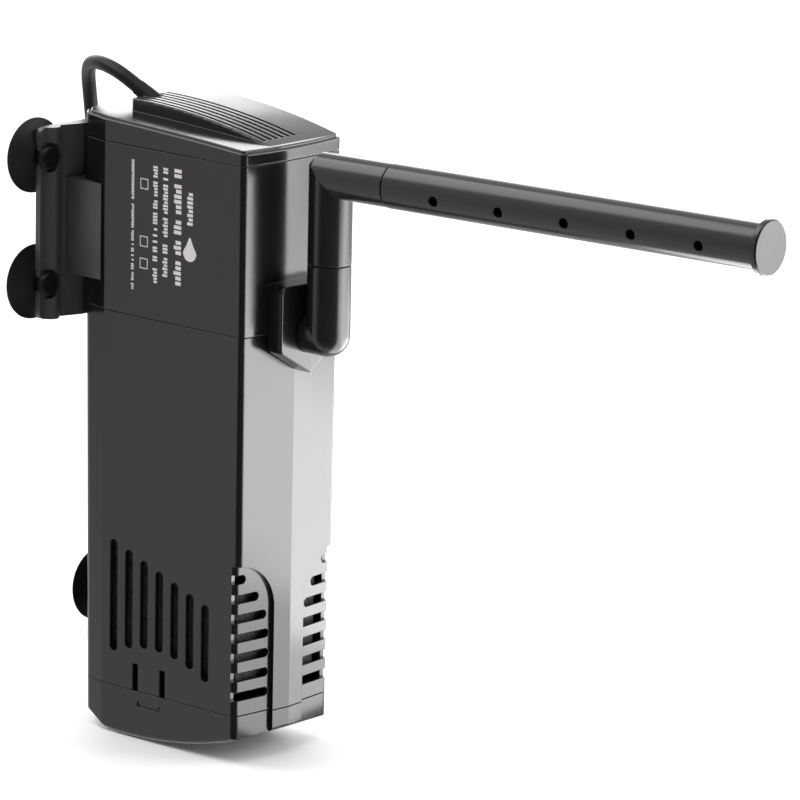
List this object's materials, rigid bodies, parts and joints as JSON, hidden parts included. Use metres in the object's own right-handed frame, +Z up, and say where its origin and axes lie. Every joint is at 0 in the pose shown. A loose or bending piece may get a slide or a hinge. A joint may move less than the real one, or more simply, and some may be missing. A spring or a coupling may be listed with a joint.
{
  "type": "internal aquarium power filter",
  "caption": "Submersible internal power filter with slotted canister, ribbed lid, swivelling outlet elbows, perforated spray bar, suction-cup bracket and mains lead.",
  "frame": {"origin": "on the glass plane that the suction cups hold on to, at the centre of the width and the height of the filter's base", "axes": "+Z up, +Y into the glass, -Y to the front with the outlet, +X to the right seen from the front"},
  "size_m": [0.2329, 0.4672, 0.3008],
  "materials": {
    "head_plastic": "satin moulded ABS",
    "canister_plastic": "satin moulded ABS",
    "pipe_plastic": "satin moulded ABS",
    "bracket_plastic": "satin moulded ABS",
    "cup_rubber": "smooth soft rubber",
    "seal_rubber": "soft rubber",
    "bush_plastic": "matt moulded plastic",
    "cable_jacket": "smooth rubber jacket",
    "tie_plastic": "matt nylon",
    "plug_plastic": "matt moulded plastic",
    "pin_brass": "nickel-plated brass",
    "potting_resin": "cast resin",
    "core_steel": "laminated steel",
    "coil_copper": "enamelled wire",
    "ferrite": "sintered magnet",
    "impeller_plastic": "moulded plastic",
    "shaft_ceramic": "polished ceramic",
    "sponge_foam": "open-cell foam"
  },
  "bodies": {
    "filter_head": {"pump_housing": "head_plastic", "lid": "head_plastic", "stator_core": "core_steel", "stator_coils": "coil_copper", "motor_potting": "potting_resin", "rotor_shaft": "shaft_ceramic", "upper_bush": "seal_rubber", "cable_gland": "cable_jacket", "mains_cable": "cable_jacket", "mains_cable_end": "cable_jacket", "cable_coil": "cable_jacket", "cable_tie": "tie_plastic", "mains_plug": "plug_plastic", "plug_pins": "pin_brass"},
    "bracket": {"suction_bracket": "bracket_plastic", "suction_cup_upper_left": "cup_rubber", "suction_cup_lower_left": "cup_rubber", "suction_cup_upper_right": "cup_rubber", "suction_cup_lower_right": "cup_rubber"},
    "rotor": {"rotor_magnet": "ferrite", "impeller": "impeller_plastic"},
    "inlet_cover": {"inlet_cover": "bush_plastic", "lower_bush": "bush_plastic"},
    "canister": {"filter_canister": "canister_plastic", "filter_sponge": "sponge_foam", "sponge_retainer": "bush_plastic", "suction_cup_canister": "cup_rubber"},
    "latch_left": {"latch_tongue_left": "canister_plastic"},
    "latch_right": {"latch_tongue_right": "canister_plastic"},
    "bottom_cap": {"bottom_cap": "canister_plastic"},
    "lower_elbow": {"lower_elbow": "pipe_plastic", "outlet_oring": "seal_rubber"},
    "upper_elbow": {"upper_elbow": "pipe_plastic"},
    "spray_bar": {"spray_bar": "pipe_plastic"},
    "end_cap": {"spray_bar_end_cap": "pipe_plastic"}
  },
  "joints": [
    {"name": "bracket_slide", "type": "slide", "parent": "filter_head", "child": "bracket", "axis": [0, 0, -1], "range_m": [0, 0.08]},
    {"name": "rotor_spin", "type": "hinge", "parent": "filter_head", "child": "rotor", "pos_m": [0, -0.066, 0.2], "axis": [0, 0, 1], "continuous": true},
    {"name": "inlet_cover_twist", "type": "hinge", "parent": "filter_head", "child": "inlet_cover", "pos_m": [0, -0.066, 0.185], "axis": [0, 0, 1], "range_deg": [0, 30]},
    {"name": "canister_slide", "type": "slide", "parent": "filter_head", "child": "canister", "axis": [0, 0, -1], "range_m": [0, 0.06]},
    {"name": "latch_left_press", "type": "hinge", "parent": "canister", "child": "latch_left", "pos_m": [-0.02975, -0.0622, 0.0345], "axis": [0, -1, 0], "range_deg": [0, 5], "stiffness_Nm_per_rad": 1},
    {"name": "latch_right_press", "type": "hinge", "parent": "canister", "child": "latch_right", "pos_m": [0.02975, -0.0622, 0.0345], "axis": [0, 1, 0], "range_deg": [0, 5], "stiffness_Nm_per_rad": 1},
    {"name": "bottom_cap_slide", "type": "slide", "parent": "canister", "child": "bottom_cap", "axis": [0, 0, -1], "range_m": [0, 0.03]},
    {"name": "lower_elbow_swivel", "type": "hinge", "parent": "filter_head", "child": "lower_elbow", "pos_m": [0, -0.1395, 0.1962], "axis": [0, 1, 0], "range_deg": [-90, 90]},
    {"name": "upper_elbow_swivel", "type": "hinge", "parent": "lower_elbow", "child": "upper_elbow", "pos_m": [0, -0.1395, 0.228], "axis": [0, 0, 1], "range_deg": [-90, 80]},
    {"name": "spray_bar_roll", "type": "hinge", "parent": "upper_elbow", "child": "spray_bar", "pos_m": [0, -0.1395, 0.2675], "axis": [0.0828, -0.9966, 0], "range_deg": [-180, 180]},
    {"name": "end_cap_pull", "type": "slide", "parent": "spray_bar", "child": "end_cap", "axis": [0.0828, -0.9966, 0], "range_m": [0, 0.015]}
  ]
}
